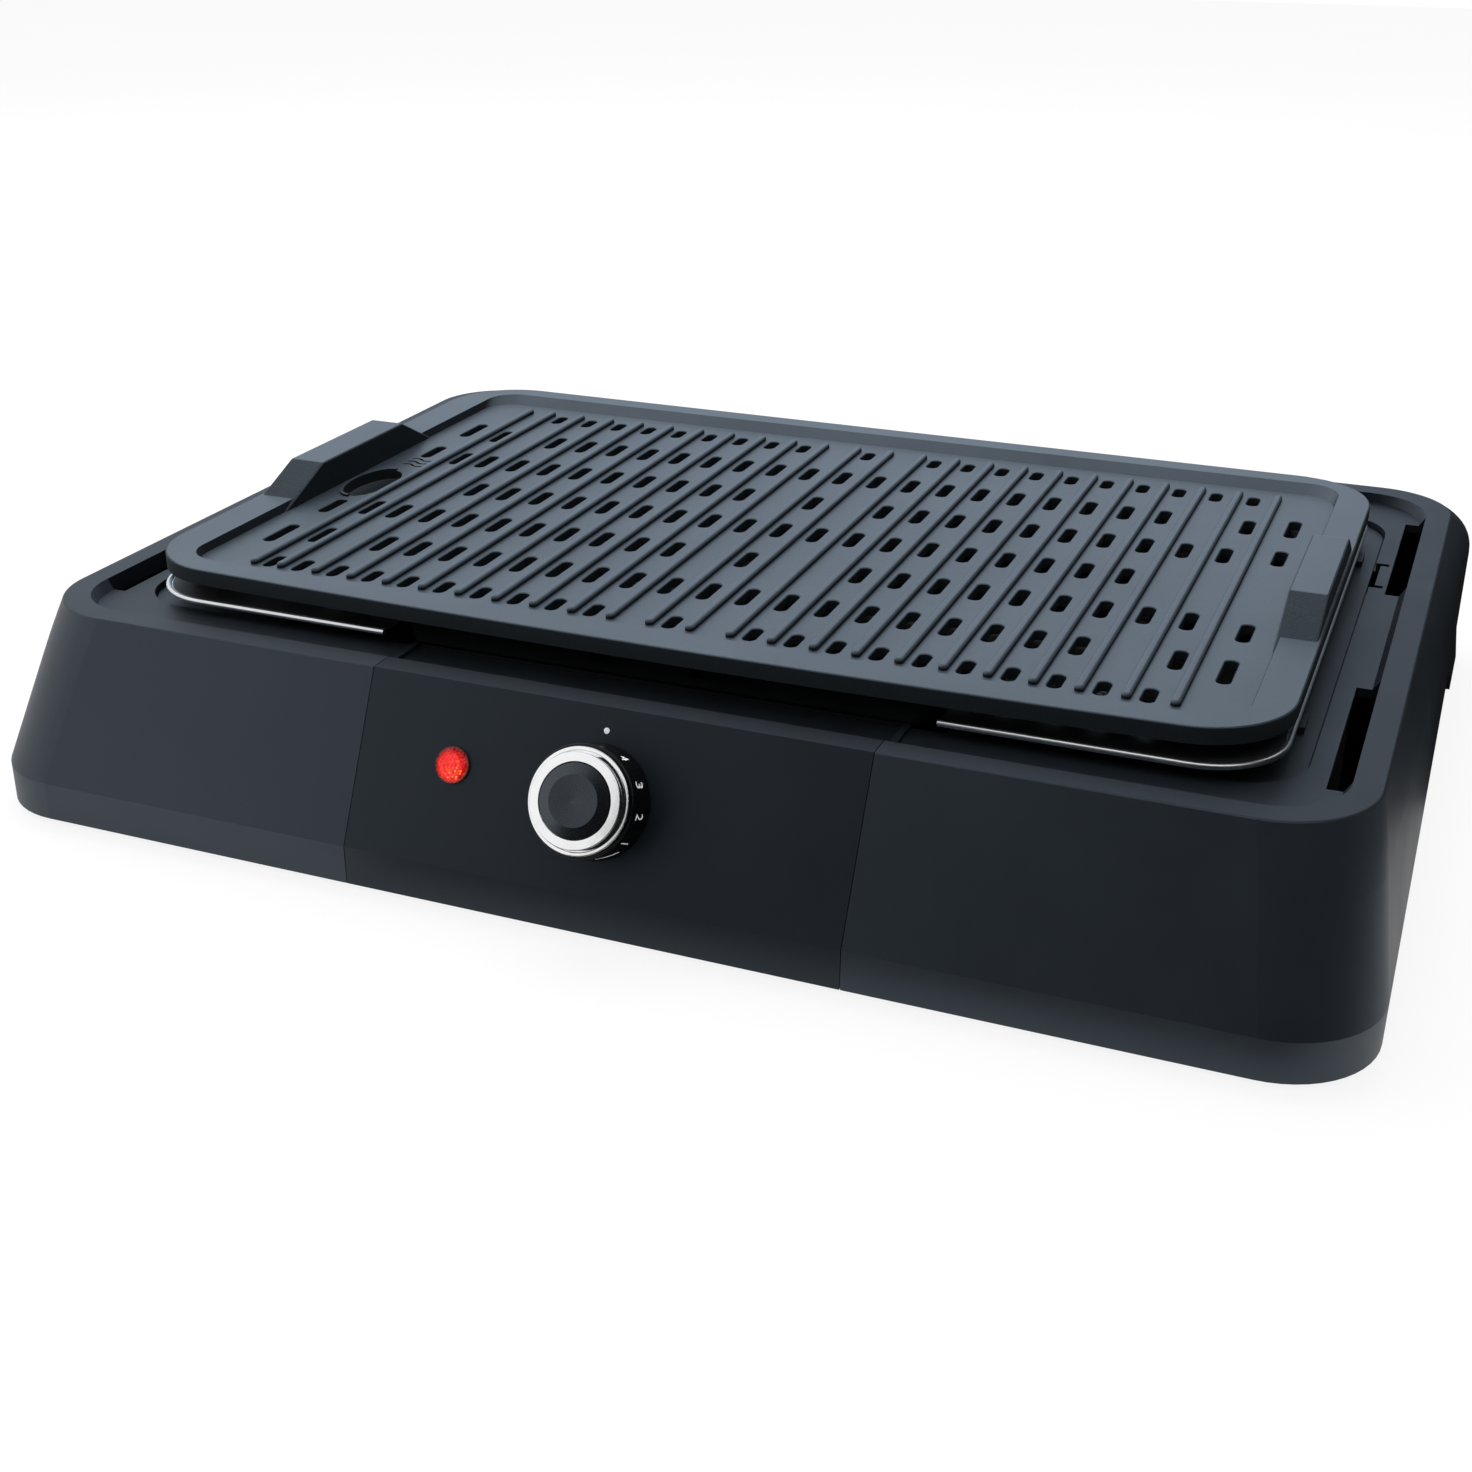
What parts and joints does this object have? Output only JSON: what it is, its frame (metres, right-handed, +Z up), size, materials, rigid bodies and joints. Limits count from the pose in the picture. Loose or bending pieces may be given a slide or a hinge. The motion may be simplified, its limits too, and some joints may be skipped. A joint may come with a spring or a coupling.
{
  "type": "electric griddle",
  "caption": "Table-top electric grill: ribbed lift-off plate with end grips over a drip tray and heating element, in a sloped housing with thermostat knob and pilot lamp.",
  "frame": {"origin": "on the table, under the middle of the overall footprint (knob included)", "axes": "+X to the right as seen by the user at the knob side, +Y to the rear, +Z up; the front with the knob faces -Y"},
  "size_m": [0.5444, 0.4304, 0.1023],
  "materials": {
    "housing": "fine moulded grain, satin",
    "panel": "fine moulded grain, satin",
    "bridge": "satin",
    "floor": "matt",
    "inner_plastic": "matt",
    "feet": "matt",
    "gland": "matt",
    "leads": "satin",
    "screws": "zinc plated",
    "tray": "bright polished sheet",
    "bracket_steel": "plain sheet",
    "element": "heat-darkened",
    "terminals": "plain",
    "thermostat": "plain",
    "shaft": "turned",
    "block": "matt",
    "lens": "clear red, faceted",
    "knob_black": "satin",
    "knob_bright": "polished",
    "plate": "dark non-stick coating, fine grain"
  },
  "bodies": {
    "base": {"base_housing": "housing", "base_floor": "floor", "rubber_feet": "feet", "floor_screws": "screws"},
    "tray": {"drip_tray": "tray"},
    "heater": {"control_panel": "panel", "control_cover": "inner_plastic", "bridge_cover": "bridge", "heating_element": "element", "element_terminals": "terminals", "element_flange": "bracket_steel", "element_brackets": "bracket_steel", "thermostat_body": "thermostat", "thermostat_screws": "screws", "pilot_lamp_lens": "lens", "lamp_holder": "inner_plastic", "lamp_clip": "bracket_steel", "terminal_block": "block", "cord_gland": "gland", "thermal_fuse": "thermostat", "internal_leads": "leads", "cover_screws": "screws", "bridge_screws": "screws", "flange_screws": "screws"},
    "knob": {"thermostat_shaft": "shaft", "knob_skirt": "knob_black", "knob_ring": "knob_bright", "knob_cap": "knob_black"},
    "plate": {"grill_plate": "plate"}
  },
  "joints": [
    {"name": "tray_lift", "type": "slide", "parent": "base", "child": "tray", "axis": [0, 0, 1], "range_m": [0, 0.12]},
    {"name": "heater_lift", "type": "slide", "parent": "tray", "child": "heater", "axis": [0, 0, 1], "range_m": [0, 0.1]},
    {"name": "plate_lift", "type": "slide", "parent": "heater", "child": "plate", "axis": [0, 0, 1], "range_m": [0, 0.06]},
    {"name": "knob_turn", "type": "hinge", "parent": "heater", "child": "knob", "pos_m": [0, -0.19193, 0.0478], "axis": [0, 0.8971, -0.4419], "range_deg": [0, 322]}
  ]
}
